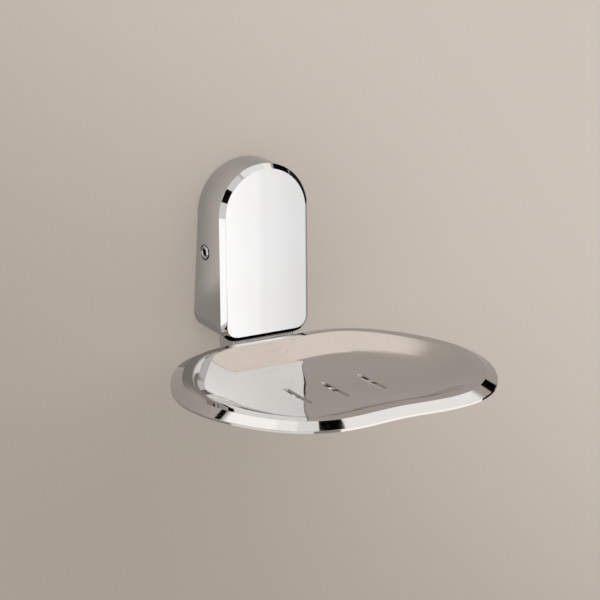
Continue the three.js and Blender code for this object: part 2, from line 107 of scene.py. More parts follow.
# Azimuths, elevations and width of the soft edges in degrees, and strength; a later panel is nearer
PANELS = [
    ("right_front_panel", (8, 80), (-22, 33), 1, 1.35),
    ("upper_back_panel", (8, 80), (32, 62), 1, 1.2),
    ("left_front_panel", (-100, -22), (-25, 62), 1, 0.88),
    ("left_side_panel", (-126, -99), (16.5, 30), 1, 1.3),
    ("left_low_panel", (-95, -28), (-19, -12.5), 0.5, 1.45),
    ("left_flag", (-72, -51), (13, 36), 1, 0.0),
    ("middle_flag", (-22, 8), (-15, 45), 0.5, 0.02),
    ("right_flag", (79, 119), (-40, 24), 1, 0.02),
    ("right_upper_flag", (79, 97.5), (20, 48), 1, 0.0),
    ("top_front_panel", (-30, 80), (60, 84), 2, 1.1),
    ("right_back_panel", (112, 152), (36, 84), 7, 0.84),
    ("left_back_panel", (138, 191), (44, 84), 8, 0.84),
    ("right_top_panel", (97, 115), (29, 67), 3, 1.15),
    ("right_top_flag", (117, 131), (15.5, 26), 1, 0.0),
    ("back_top_panel", (130, 172), (66, 86), 3, 0.98),
    ("back_left_top_panel", (165, 190), (63, 86), 5, 1.15),
    ("back_top_flag", (112, 133), (64, 77), 0.8, 0.0),
    ("left_top_panel", (184, 202), (51.2, 78), 2, 1.3),
    ("left_top_flag", (184, 200), (48.6, 51.2), 0.3, 0.0),
]

# Glowing slats before the cover's face paint its bright reflection, a painted highlight lighter at the left;
# their tones from its left edge to its right one
FACE_CARD_STRENGTH = 1.45
FACE_TONES = [(0.05, 1.0), (0.38, 0.93), (0.5, 0.85), (0.95, 0.75)]
SLAT_SPACING = 0.5 * MM
SLAT_DEPTH = 0.76 * MM
SLAT_SLOPE = math.radians(34)
SLAT_GAP = 0.1 * MM
SLAT_LEFT_TRIM = 0.05 * MM
SLAT_RIGHT_REACH = 0.3 * MM
# A glowing card on the wall beside the cover's left side paints the wall's reflection in the cover, with
# painted shade near the cover
FLANK_CARD_STRENGTH = 0.52
FLANK_CARD_WIDTH = 26 * MM
FLANK_CARD_DEPTH = 0.3 * MM
FLANK_CARD_EDGE_SHARES = (0.5, 0.12)
# A small flag on the wall stands for the deep shade beside the cover, as the left of the rim sees it
SHADE_FOOT = -38 * MM
SHADE_TIP = -31 * MM
SHADE_REACH = 15 * MM
SHADE_LOW = -58 * MM
SHADE_HIGH = -8 * MM
SHADE_EDGE_SHARE = 0.25
SHADE_TONE = 0.2
# A black sheet under the cover's foot is painted shade, standing for the dark gap between the cover and the
# rim
GAP_FLAG_BACK = 16.2 * MM
GAP_FLAG_DROP = 0.12 * MM
# Two upright strips at the cover's foot, seen only in reflections: a dim neck flag before the arm's neck is
# painted shade, a bright rim card is a painted highlight along the rim
# Drop below the cover's foot, or place across its half width, and share of the strip's full tone
NECK_FLAG_SHARES = [(0 * MM, 1), (0.5 * MM, 0.85), (1.8 * MM, 0)]
NECK_FLAG_SIDE_SHARES = [(-1, 1), (1, 1)]
NECK_FLAG_DEPTH = 16.3 * MM
NECK_FLAG_STRENGTH = 0.15
RIM_CARD_SHARES = [(-0.6 * MM, 0), (-1.4 * MM, 1), (-2.2 * MM, 1)]
RIM_CARD_SIDE_SHARES = [(-0.92, 0), (-0.7, 1), (0.3, 1), (0.85, 0)]
RIM_CARD_DEPTH = 19.3 * MM
RIM_CARD_STRENGTH = 1.0

# Finishes. A noise is features a metre, detail and stretch; most of its values lie between low and high
NOISE_LOW = 0.3
NOISE_HIGH = 0.7
EVEN_STRETCH = (1, 1, 1)
CHROME_TONES = ((0.655, 0.65, 0.645), (0.675, 0.672, 0.67))
DISH_CHROME_TONES = ((0.668, 0.643, 0.614), (0.688, 0.663, 0.634))
ZINC_TONES = ((0.6, 0.61, 0.62), (0.7, 0.7, 0.69))
NYLON_TONES = ((0.74, 0.74, 0.73), (0.8, 0.8, 0.81))
# Mirror polish: tiny changes of tone, a trace of haze and faint waves
POLISH = {
    "metallic": 1,
    "tone_noise": (35, 2),
    "haze_noise": (220, 4),
    "roughness": (0.03, 0.06),
    "relief_noise": (70, 1),
    "relief_depth": 0.004 * MM,
    "relief_strength": 1,
}
# Satin plate: spangled tone and a fine grain
SATIN = {
    "metallic": 1,
    "tone_noise": (160, 3),
    "haze_noise": (600, 3),
    "roughness": (0.28, 0.42),
    "relief_noise": (4000, 4, (1, 1, 0.08)),
    "relief_depth": 0.01 * MM,
    "relief_strength": 0.6,
}
# Matt moulding: milky, with faint flow marks
MOULDED = {
    "metallic": 0,
    "tone_noise": (90, 3, (1, 0.3, 1)),
    "haze_noise": (500, 2),
    "roughness": (0.45, 0.6),
    "relief_noise": (2500, 3),
    "relief_depth": 0.02 * MM,
    "relief_strength": 0.5,
}

# How far joined and cutting shapes reach past each other
overlap = 1 * MM

# Cover
cover_flare_top = 1.4 * MM
cover_flare_bottom = 4.2 * MM
cover_undercut = 2.6 * MM
cover_bevel = 2.1 * MM
cover_wall = 2.2 * MM
cover_corner = 7 * MM
cover_back_corner = 8.5 * MM
face_edge_radius = 0.25 * MM
bevel_edge_radius = 0.5 * MM
back_edge_radius = 0.4 * MM
inner_edge_radius = 1.2 * MM
within_share = 0.8
arch_steps = 144
corner_steps = 24
side_steps = 40
depth_steps = 14
fillet_steps = 5
set_boss_radius = 5.5 * MM
set_boss_gap = 1.3 * MM
rib_back = 2.3 * MM
rib_half_height = 5 * MM
arm_boss_radius = 4 * MM
notch_gap = 0.4 * MM

# Dish
dish_harmonic_shares = [(2, -0.079), (3, -0.011), (4, -0.032), (6, -0.017)]
dish_sheet = 1.4 * MM
rim_lip = 0.9 * MM
rim_chamfer_run = 4.75 * MM
rim_chamfer_drop = 2.4 * MM
rim_top_run = 3.95 * MM
rim_top_drop = 0.2 * MM
rim_top_steps = 3
rim_edge_radius = 0.3 * MM
lip_edge_radius = 0.25 * MM
bowl_wall_run = 18 * MM
bowl_wall_drop = 5.6 * MM
bowl_wall_shares = [
    (0.03, 0.02),
    (0.1, 0.1),
    (0.25, 0.285),
    (0.45, 0.54),
    (0.65, 0.785),
    (0.83, 0.94),
    (1, 1),
]
bowl_wall_end_slope = -0.11
bowl_floor_drop = 1.9 * MM
dish_steps = 360
bowl_wall_steps = 30
floor_steps = 26
dish_boss_radius = 4.5 * MM
dish_sharp_angle = 20

# Drain slots
slot_count = 3
slot_pitch = 17.2 * MM
slot_width = 2.2 * MM
slot_length = 18.7 * MM
slot_lead = 7.3 * MM
slot_lip_radius = 0.3 * MM
slot_lip_rise = 0.02 * MM
slot_tool_reach = 2 * MM
slot_probe_reach = 20 * MM
slot_end_steps = 14
slot_side_steps = 24

# Arm
arm_plate = 3 * MM
arm_edge_radius = 0.8 * MM
arm_corner_radius = 0.7 * MM
tongue_thickness = 4 * MM
tongue_flat = 22 * MM
neck_rise = 5.5 * MM
arm_curve_steps = 28

# Wall screws and machine screws
arm_screws = ("left_arm_screw", "right_arm_screw")
dish_screws = ("left_dish_screw", "right_dish_screw")
wall_plugs = ("upper_wall_plug", "lower_wall_plug")
seat_gap = 0.3 * MM
screw_hole_radius = 2.3 * MM
screw_radius = 2 * MM
screw_point_radius = 0.4 * MM
screw_neck = 0.3 * MM
screw_head_edge = 0.1 * MM
screw_thread_depth = 0.35 * MM
screw_thread_start = 0.8 * MM
wall_screw_pitch = 1.8 * MM
wall_screw_head = 2.6 * MM
wall_screw_point = 4 * MM
machine_screw_pitch = 0.7 * MM
machine_screw_head = 2.2 * MM
machine_screw_point = 0.6 * MM
# A thread's ridge over one turn: its height at the middle, cut off at 1, and its fall to the sides
thread_height_share = 1.6
thread_fall_share = 4.8
# The cross recess: height in the head, and span, at its mouth and at its floor
recess_shares = [(1.3, 0.62), (0.38, 0.34)]
recess_width_share = 0.24
dome_steps = 12
thread_steps = 10
least_point_steps = 3
screw_sides = 48
screw_sharp_angle = 30
round_steps = 64

# Set screw
set_pitch = 1 * MM
set_thread_depth = 0.5 * MM
set_chamfer = 0.45 * MM
set_face_edge = 0.12 * MM
set_face_rise = 0.04 * MM
set_point = 1 * MM
set_thread_steps = 12
set_sides = 96
socket_flats = 3 * MM
socket_depth = 3.5 * MM
socket_lead = 0.1 * MM
socket_flare = 0.35 * MM
socket_flare_depth = 0.45 * MM

# Washers and plugs
washer_edge_radius = 0.15 * MM
small_fillet_steps = 3
plug_collar = 3 * MM
plug_rib_count = 9
plug_rib_depth = 0.35 * MM
plug_edge_radius = 0.1 * MM
plug_collar_radius = 0.2 * MM
plug_rib_radius = 0.08 * MM
plug_slit_half = 0.45 * MM
plug_slit_start_share = 0.35
plug_end_bridge = 2 * MM

# Bracket
bracket_plate = 2 * MM
bracket_corner = 5 * MM
bracket_corner_steps = 12
bracket_block_height = 14 * MM
bracket_hole_radius = 3.3 * MM
bracket_edge_radius = 0.3 * MM


def node_box(node):
    """A node's lowest corner, highest corner and middle."""
    low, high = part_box(node)
    return low, high, (low + high) / 2


# Sizes read from the frame
cover_low, cover_high, _ = node_box("cover_shell")
tray_low, tray_high, _ = node_box("soap_tray")
arm_low, arm_high, _ = node_box("support_arm")
bracket_low, bracket_high, _ = node_box("wall_bracket")
_, arm_screw_high, _ = node_box("left_arm_screw")

cover_depth = -cover_low.y
cover_back = -cover_high.y
cover_top = cover_high.z
cover_bottom = cover_low.z
cover_half = cover_high.x - cover_flare_bottom
crest_height = tray_high.z
crest_inset = rim_chamfer_run + rim_top_run
arm_plate_front = -arm_screw_high.y + machine_screw_head + seat_gap + arm_plate
notch_front = cover_depth - cover_bevel - notch_gap
neck_front = notch_front - notch_gap


# Profiles and meshes


def at(x, depth, z):
    return np.array([x, -depth, z])


def unit(vectors):
    return vectors / np.linalg.norm(vectors, axis=-1, keepdims=True)


def arc(across, upward, radius, start, sweep, steps):
    """Points of a circle's arc round a centre, with both ends."""
    points = []
    for step in range(steps + 1):
        angle = start + sweep * step / steps
        points.append((across + radius * math.cos(angle), upward + radius * math.sin(angle)))
    return points


def between(start, end, steps):
    """Points or rings between two, without either."""
    start, end = np.array(start), np.array(end)
    return [start + (end - start) * step / steps for step in range(1, steps)]


def run(start, end, steps):
    """Points from one to another, with both."""
    return [start, *between(start, end, steps), end]


def quarter_round(radius):
    """A quarter circle as insets and sinks, from the full inset to the full sink."""
    angles = [step / fillet_steps * QUARTER_TURN for step in range(fillet_steps + 1)]
    return [(radius * (1 - math.sin(angle)), radius * (1 - math.cos(angle))) for angle in angles]


def fillet(before, corner, after, radius, steps=fillet_steps):
    """Rings of points that round a profile's corner, at every point of the outline."""
    to_before = unit(before - corner)
    to_after = unit(after - corner)
    half = np.arccos(np.clip(np.sum(to_before * to_after, axis=-1, keepdims=True), -1, 1)) / 2
    centre = corner + unit(to_before + to_after) * radius / np.sin(half)
    start = corner + to_before * radius / np.tan(half) - centre
    end = corner + to_after * radius / np.tan(half) - centre
    sweep = math.pi - 2 * half
    rings = []
    for step in range(steps + 1):
        share = step / steps
        reach = np.sin((1 - share) * sweep) * start + np.sin(share * sweep) * end
        rings.append(centre + reach / np.sin(sweep))
    return rings


def rounded_polygon(points, radii, steps=fillet_steps):
    """A closed outline with its corners rounded; a radius of zero leaves a point as it is."""
    points = [np.array(point, float) for point in points]
    rounded = []
    for i, (point, radius) in enumerate(zip(points, radii)):
        if radius:
            after = points[(i + 1) % len(points)]
            rounded += fillet(points[i - 1], point, after, radius, steps)
        else:
            rounded.append(point)
    return np.array(rounded)


def new_object(name, points, faces):
    mesh = bpy.data.meshes.new(name)
    mesh.from_pydata([tuple(point) for point in points], [], faces)
    thing = bpy.data.objects.new(name, mesh)
    bpy.context.scene.collection.objects.link(thing)
    return thing


def new_piece(name, points, faces):
    piece = new_object(name, points, faces)
    piece.data.validate()
    turn_outward(piece.data)
    return piece


def turn_outward(mesh):
    """Turns a closed mesh's faces so that its volume is positive."""
    mesh.calc_loop_triangles()
    points = np.array([vertex.co for vertex in mesh.vertices])
    corners = np.array([triangle.vertices for triangle in mesh.loop_triangles])
    a, b, c = points[corners[:, 0]], points[corners[:, 1]], points[corners[:, 2]]
    if np.sum(a * np.cross(b, c)) < 0:
        mesh.flip_normals()
    mesh.update()


def loft(name, rings, first=None, last=None, closed=False):
    """Rings joined in turn. The ends close on a middle point, on a flat face, or on each other."""
    count = len(rings[0])
    points = [point for ring in rings for point in ring]
    faces = []
    joints = len(rings) if closed else len(rings) - 1
    for i in range(count):
        after = (i + 1) % count
        for ring in range(joints):
            here = ring * count
            there = ((ring + 1) % len(rings)) * count
            faces.append((here + i, here + after, there + after, there + i))
    if not closed:
        end = (len(rings) - 1) * count
        if first is None:
            faces.append(tuple(reversed(range(count))))
            faces.append(tuple(range(end, end + count)))
        else:
            points += [first, last]
            for i in range(count):
                after = (i + 1) % count
                faces.append((len(points) - 2, after, i))
                faces.append((end + i, end + after, len(points) - 1))
    return new_piece(name, points, faces)


def frame_of(direction):
    """Two directions square to a third."""
    along = unit(np.array(direction, float))
    side = np.array([0.0, 0.0, 1.0]) if abs(along[2]) < 0.9 else np.array([1.0, 0.0, 0.0])
    across = unit(np.cross(along, side))
    return across, np.cross(along, across), along


def turned(name, origin, direction, profile, sides=round_steps, thread=None, closed=False):
    """A turned piece. The profile is radius and distance along the direction; thread adds to the radius."""
    across, upward, along = frame_of(direction)
    rings = []
    for radius, distance in profile:
        ring = []
        for side in range(sides):
            angle = FULL_TURN * side / sides
            reach = radius + (thread(distance, angle) if thread else 0)
            outward = across * math.cos(angle) + upward * math.sin(angle)
            ring.append(origin + along * distance + outward * reach)
        rings.append(ring)
    return loft(name, rings, closed=closed)


def bar(radius, start, end, sides=round_steps):
    start = np.array(start, float)
    end = np.array(end, float)
    length = np.linalg.norm(end - start)
    return turned("tool", start, end - start, [(radius, 0), (radius, length)], sides)


def bore(radius, node, start, end, upright=False):
    """A bar on a node's middle, from one depth to another, or from one height to another if it is upright."""
    _, _, middle = node_box(node)
    if upright:
        return bar(radius, (middle.x, middle.y, start), (middle.x, middle.y, end))
    return bar(radius, at(middle.x, start, middle.z), at(middle.x, end, middle.z))


def block(low, high):
    """A box between two corners."""
    low, high = np.minimum(low, high), np.maximum(low, high)
    corners = [(low[0], low[1]), (high[0], low[1]), (high[0], high[1]), (low[0], high[1])]
    return loft("tool", [[np.array([x, y, z]) for x, y in corners] for z in (low[2], high[2])])


def settle(piece):
    """Applies a piece's modifiers to its mesh."""
    graph = bpy.context.evaluated_depsgraph_get()
    mesh = bpy.data.meshes.new_from_object(piece.evaluated_get(graph))
    piece.modifiers.clear()
    piece.data = mesh
    return piece


def combine(piece, tools, operation):
    for tool in tools:
        modifier = piece.modifiers.new("combine", "BOOLEAN")
        modifier.operation = operation
        modifier.solver = "EXACT"
        modifier.object = tool
    settle(piece)
    for tool in tools:
        bpy.data.objects.remove(tool)
    return piece


def soften(piece, width, segments=3, angle=40):
    """Rounds a piece's sharp edges."""
    modifier = piece.modifiers.new("soften", "BEVEL")
    modifier.width = width
    modifier.segments = segments
    modifier.limit_method = "ANGLE"
    modifier.angle_limit = math.radians(angle)
    return settle(piece)


def dress(piece, name, material, body, node, sharp_angle=35):
    """Smooth shading, material, slot, body and node for a finished piece."""
    piece.name = name
    piece.data.name = name
    piece.data.polygons.foreach_set("use_smooth", [True] * len(piece.data.polygons))
    piece.data.set_sharp_from_angle(angle=math.radians(sharp_angle))
    weighted = piece.modifiers.new("shading", "WEIGHTED_NORMAL")
    weighted.keep_sharp = True
    piece.data.materials.clear()
    piece.data.materials.append(material)
    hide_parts(node)
    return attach(piece, body)


# Materials


def empty_material(name):
    material = bpy.data.materials.new(name)
    material.use_nodes = True
    material.node_tree.nodes.clear()
    return material, material.node_tree


def add_node(tree, kind, inputs=None, **settings):
    """A shader node with its settings and its inputs, each a value or the output that feeds it."""
    node = tree.nodes.new("ShaderNode" + kind)
    for name, value in settings.items():
        setattr(node, name, value)
    for socket, value in (inputs or {}).items():
        if isinstance(value, bpy.types.NodeSocket):
            tree.links.new(value, node.inputs[socket])
        else:
            node.inputs[socket].default_value = value
    return node


def add_noise(tree, scale, detail, stretch=EVEN_STRETCH):
    """Noise in the object's own coordinates."""
    place = add_node(tree, "TexCoord")
    mapping = add_node(tree, "Mapping", {"Vector": place.outputs["Object"], "Scale": stretch})
    settings = {"Vector": mapping.outputs["Vector"], "Scale": scale, "Detail": detail}
    return add_node(tree, "TexNoise", settings).outputs["Fac"]


def add_ramp(tree, value, knots, interpolation="LINEAR"):
    """Colours over a value, through knots of place and colour."""
    node = add_node(tree, "ValToRGB", {"Fac": value})
    node.color_ramp.interpolation = interpolation
    elements = node.color_ramp.elements
    while len(elements) < len(knots):
        elements.new(1 / 2)
    for element, (place, colour) in zip(elements, knots):
        element.position = place
        element.color = (*colour, 1)
    return node.outputs["Color"]


def add_bump(tree, height, depth, strength):
    inputs = {"Height": height, "Distance": depth, "Strength": strength}
    return add_node(tree, "Bump", inputs).outputs["Normal"]


def finish(name, tones, looks):
    """A finish whose tone, haze and relief each follow a noise of their own."""
    material, tree = empty_material(name)
    tone = add_noise(tree, *looks["tone_noise"])
    spread = {
        "Value": add_noise(tree, *looks["haze_noise"]),
        "From Min": NOISE_LOW,
        "From Max": NOISE_HIGH,
        "To Min": looks["roughness"][0],
        "To Max": looks["roughness"][1],
    }
    relief = add_noise(tree, *looks["relief_noise"])
    surface = {
        "Metallic": looks["metallic"],
        "Base Color": add_ramp(tree, tone, list(zip((NOISE_LOW, NOISE_HIGH), tones))),
        "Roughness": add_node(tree, "MapRange", spread).outputs["Result"],
        "Normal": add_bump(tree, relief, looks["relief_depth"], looks["relief_strength"]),
    }
    shader = add_node(tree, "BsdfPrincipled", surface)
    add_node(tree, "OutputMaterial", {"Surface": shader.outputs["BSDF"]})
    return material


chrome = finish("polished_chrome", CHROME_TONES, POLISH)
dish_chrome = finish("polished_dish_chrome", DISH_CHROME_TONES, POLISH)
zinc = finish("zinc_plate", ZINC_TONES, SATIN)
nylon = finish("nylon", NYLON_TONES, MOULDED)


# Cover


def arch_outline(half_top, half_bottom, corner, top, bottom):
    """A semicircle on straight sides with round lower corners, as X and Z, from the right foot round."""
    spring = top - half_top
    corner_x = half_bottom - corner
    corner_z = bottom + corner
    outline = arc(corner_x, corner_z, corner, -QUARTER_TURN, QUARTER_TURN, corner_steps)
    outline += between((half_bottom, corner_z), (half_top, spring), side_steps)
    outline += arc(0, spring, half_top, 0, HALF_TURN, arch_steps)
    outline += between((-half_top, spring), (-half_bottom, corner_z), side_steps)
    outline += arc(-corner_x, corner_z, corner, HALF_TURN, QUARTER_TURN, corner_steps)
    return outline


def cover_front_ring(inset, depth):
    outline = arch_outline(
        cover_half - inset,
        cover_half - inset,
        cover_corner - inset,
        cover_top - inset,
        cover_bottom + inset,
    )
    return np.array([at(x, depth, z) for x, z in outline])


def cover_back_ring(inset, depth):
    outline = arch_outline(
        cover_half + cover_flare_top - inset,
        cover_half + cover_flare_bottom - inset,
        cover_back_corner - inset,
        cover_top - inset,
        cover_bottom + cover_undercut + inset,
    )
    return np.array([at(x, depth, z) for x, z in outline])


def cover_side(height, depth):
    """The cover's half width at a height and a depth."""
    spring = cover_top - cover_half - cover_flare_top
    foot = cover_bottom + cover_undercut + cover_back_corner
    fall = (spring - height) / (spring - foot)
    flare = cover_flare_top + (cover_flare_bottom - cover_flare_top) * fall
    return cover_half + flare * (1 - depth / (cover_depth - cover_bevel))


def build_cover():
    inner_depth = cover_depth - cover_wall
    face = cover_front_ring(cover_bevel, cover_depth)
    bevel = cover_front_ring(0, cover_depth - cover_bevel)
    back = cover_back_ring(0, cover_back)
    hollow = cover_back_ring(cover_wall, cover_back)
    inner = cover_front_ring(cover_wall, inner_depth)
    face_middle = at(0, cover_depth, 0)
    inner_middle = at(0, inner_depth, 0)
    face_within = face_middle + (face - face_middle) * within_share
    inner_within = inner_middle + (inner - inner_middle) * within_share
    bevel_edge = fillet(face, bevel, back, bevel_edge_radius)
    back_edge = fillet(bevel, back, hollow, back_edge_radius)
    hollow_edge = fillet(back, hollow, inner, back_edge_radius)
    inner_edge = fillet(hollow, inner, inner_within, inner_edge_radius)
    rings = [
        *fillet(face_within, face, bevel, face_edge_radius),
        *bevel_edge,
        *between(bevel_edge[-1], back_edge[0], depth_steps),
        *back_edge,
        *hollow_edge,
        *between(hollow_edge[-1], inner_edge[0], depth_steps),
        *inner_edge,
    ]
    cover = loft("cover", rings, face_middle, inner_middle)

    # Inside: the set screw's boss, the rib opposite it and the two bosses for the arm
    screw_low, screw_high, screw_middle = node_box("set_screw")
    screw_depth = -screw_middle.y
    hole_radius = (screw_high.z - screw_low.z) / 2 + seat_gap
    side = cover_side(0, screw_depth)
    boss_end = bracket_high.x + set_boss_gap
    added = [
        bar(set_boss_radius, at(-side + cover_wall - overlap, screw_depth, 0), at(-boss_end, screw_depth, 0)),
        block(
            at(bracket_high.x - overlap + seat_gap, rib_back, -rib_half_height),
            at(cover_half - overlap, inner_depth + overlap, rib_half_height),
        ),
    ]
    cut = []
    boss_start = arm_plate_front + seat_gap
    for node in arm_screws:
        low, _, _ = node_box(node)
        added.append(bore(arm_boss_radius, node, inner_depth + overlap, boss_start))
        cut.append(bore(screw_hole_radius, node, boss_start - overlap, -low.y + seat_gap))
    combine(cover, added, "UNION")

    start = at(-side - 3 * overlap, screw_depth, 0)
    cut.append(bar(hole_radius, start, at(-boss_end + overlap, screw_depth, 0)))
    notch_half = arm_high.x + notch_gap
    cut.append(
        block(
            at(-notch_half, -overlap, cover_bottom - overlap),
            at(notch_half, notch_front, cover_bottom + cover_undercut + cover_wall + overlap),
        )
    )
    combine(cover, cut, "DIFFERENCE")
    return dress(cover, "polished_cover", chrome, "holder", "cover_shell")


# Dish


def outline_radius_share(angle):
    return 1 + sum(share * math.cos(order * angle) for order, share in dish_harmonic_shares)


def outline_slope_share(angle):
    return -sum(order * share * math.sin(order * angle) for order, share in dish_harmonic_shares)


dish_angles = [FULL_TURN * step / dish_steps for step in range(dish_steps)]
dish_radius = tray_high.x / max(outline_radius_share(angle) * math.sin(angle) for angle in dish_angles)
dish_front_share = max(outline_radius_share(angle) * math.cos(angle) for angle in dish_angles)
dish_centre = -tray_low.y - dish_radius * dish_front_share


def dish_ring(inset, height):
    """The outline drawn in by an inset, at a height over the crest."""
    ring = []
    for angle in dish_angles:
        radius = dish_radius * outline_radius_share(angle)
        slope = dish_radius * outline_slope_share(angle)
        across_x = radius * math.sin(angle) - slope * math.cos(angle)
        across_depth = radius * math.cos(angle) + slope * math.sin(angle)
        reach = math.hypot(across_x, across_depth)
        x = radius * math.sin(angle) - inset * across_x / reach
        depth = dish_centre + radius * math.cos(angle) - inset * across_depth / reach
        ring.append(at(x, depth, crest_height + height))
    return np.array(ring)


def smooth_curve(knots, end_slope, steps):
    """Points of a curve through the knots, made of cubic pieces, which never turns back between them."""
    x = np.array([knot[0] for knot in knots])
    y = np.array([knot[1] for knot in knots])
    chords = np.diff(y) / np.diff(x)
    slopes = np.zeros(len(x))
    for i in range(1, len(x) - 1):
        if chords[i - 1] * chords[i] > 0:
            before, after = x[i] - x[i - 1], x[i + 1] - x[i]
            first, second = 2 * after + before, after + 2 * before
            slopes[i] = (first + second) / (first / chords[i - 1] + second / chords[i])
    slopes[-1] = end_slope
    points = []
    for place in np.linspace(x[0], x[-1], steps + 1):
        i = min(np.searchsorted(x, place, side="right") - 1, len(x) - 2)
        width = x[i + 1] - x[i]
        t = (place - x[i]) / width
        height = (
            (2 * t**3 - 3 * t**2 + 1) * y[i]
            + (t**3 - 2 * t**2 + t) * width * slopes[i]
            + (3 * t**2 - 2 * t**3) * y[i + 1]
            + (t**3 - t**2) * width * slopes[i + 1]
        )
        points.append((place, height))
    return points


def dish_profile():
    """The dish's upper profile as inset and height, from its outer edge to the floor's edge."""
    edge = np.array([0, -rim_top_drop - rim_chamfer_drop])
    lip_foot = edge - np.array([0, rim_lip])
    chamfer_top = np.array([rim_chamfer_run, -rim_top_drop])
    crest = np.array([crest_inset, 0])
    knots = [(crest_inset, 0)]
    for run_share, drop_share in bowl_wall_shares:
        knots.append((crest_inset + bowl_wall_run * run_share, -bowl_wall_drop * drop_share))
    wall = smooth_curve(knots, bowl_wall_end_slope, bowl_wall_steps)
    profile = [lip_foot]
    profile += fillet(lip_foot, edge, chamfer_top, lip_edge_radius)
    profile += fillet(edge, chamfer_top, crest, rim_edge_radius)
    profile += between(chamfer_top, crest, rim_top_steps)
    profile += [np.array(point) for point in wall]
    return profile


def shifted_profile(profile):
    """The upper profile moved down through the sheet, square to its surface."""
    lower = []
    for i in range(1, len(profile)):
        before = profile[i - 1]
        after = profile[min(i + 1, len(profile) - 1)]
        run, rise = after - before
        reach = math.hypot(run, rise)
        shifted = profile[i] + np.array([rise, -run]) * dish_sheet / reach
        if shifted[0] > dish_sheet and shifted[1] > profile[0][1]:
            if not lower or shifted[0] > lower[-1][0]:
                lower.append(shifted)
        elif shifted[0] > crest_inset:
            lower.append(shifted)
    return [np.array([dish_sheet, profile[0][1]]), *lower]


def floor_rings(edge, steps):
    """Rings from the floor's edge towards its middle; the floor falls ever more gently."""
    centre = at(0, dish_centre, edge[0][2])
    rings = []
    for step in range(1, steps):
        share = step / steps
        ring = edge + (centre - edge) * share
        ring[:, 2] -= bowl_floor_drop * (1 - (1 - share) ** 2)
        rings.append(ring)
    return rings


def build_dish():
    upper = dish_profile()
    lower = shifted_profile(upper)
    upper_rings = [dish_ring(*point) for point in upper]
    lower_rings = [dish_ring(*point) for point in lower]
    upper_floor = floor_rings(upper_rings[-1], floor_steps)
    lower_floor = floor_rings(lower_rings[-1], floor_steps)
    upper_middle = at(0, dish_centre, upper_rings[-1][0][2] - bowl_floor_drop)
    lower_middle = at(0, dish_centre, lower_rings[-1][0][2] - bowl_floor_drop)
    rings = [*reversed(upper_floor), *reversed(upper_rings), *lower_rings, *lower_floor]
    tray = loft("tray", rings, upper_middle, lower_middle)
    surface = BVHTree.FromObject(tray, bpy.context.evaluated_depsgraph_get())

    # Two bosses under the bowl take the screws through the arm
    added = []
    cut = []
    foot = tray_low.z
    for node in dish_screws:
        _, high, middle = node_box(node)
        below = Vector((middle.x, middle.y, foot - overlap))
        underside = surface.ray_cast(below, Vector((0, 0, 1)))[0].z
        added.append(bore(dish_boss_radius, node, foot, underside + overlap / 2, upright=True))
        cut.append(bore(screw_hole_radius, node, foot - overlap, high.z, upright=True))
    combine(tray, added, "UNION")
    for slot in range(slot_count):
        cut.append(slot_tool((slot - (slot_count - 1) / 2) * slot_pitch, surface))
    combine(tray, cut, "DIFFERENCE")
    return dress(tray, "polished_dish", dish_chrome, "holder", "soap_tray", dish_sharp_angle)


def slot_outline(x, offset):
    """A slot's outline grown by an offset, as X and depth."""
    start = dish_centre - slot_lead
    end = start + slot_length
    radius = slot_width / 2 + offset
    outline = arc(x, start, radius, 0, -HALF_TURN, slot_end_steps)
    outline += between((x - radius, start), (x - radius, end), slot_side_steps)
    outline += arc(x, end, radius, HALF_TURN, -HALF_TURN, slot_end_steps)
    outline += between((x + radius, end), (x + radius, start), slot_side_steps)
    return outline


def slot_tool(x, surface):
    """Cuts one slot; it flares above and below, so that the sheet's lips come out round."""
    lip = [(slot_lip_radius, slot_tool_reach)]
    lip += [(offset, slot_lip_rise - sink) for offset, sink in quarter_round(slot_lip_radius)]
    rings = []
    for sign in (1, -1):
        for offset, rise in lip if sign > 0 else reversed(lip):
            ring = []
            for px, depth in slot_outline(x, offset):
                origin = Vector((px, -depth, crest_height + sign * slot_probe_reach))
                height = surface.ray_cast(origin, Vector((0, 0, -sign)))[0].z
                ring.append(at(px, depth, height + sign * rise))
            rings.append(ring)
    return loft("tool", rings)


# Arm


def bend(start, corner, end):
    """Points of a curve that leaves one point and meets the other along lines through the corner."""
    start, corner, end = np.array(start), np.array(corner), np.array(end)
    shares = [step / arm_curve_steps for step in range(1, arm_curve_steps)]
    return [(1 - t) ** 2 * start + 2 * t * (1 - t) * corner + t**2 * end for t in shares]


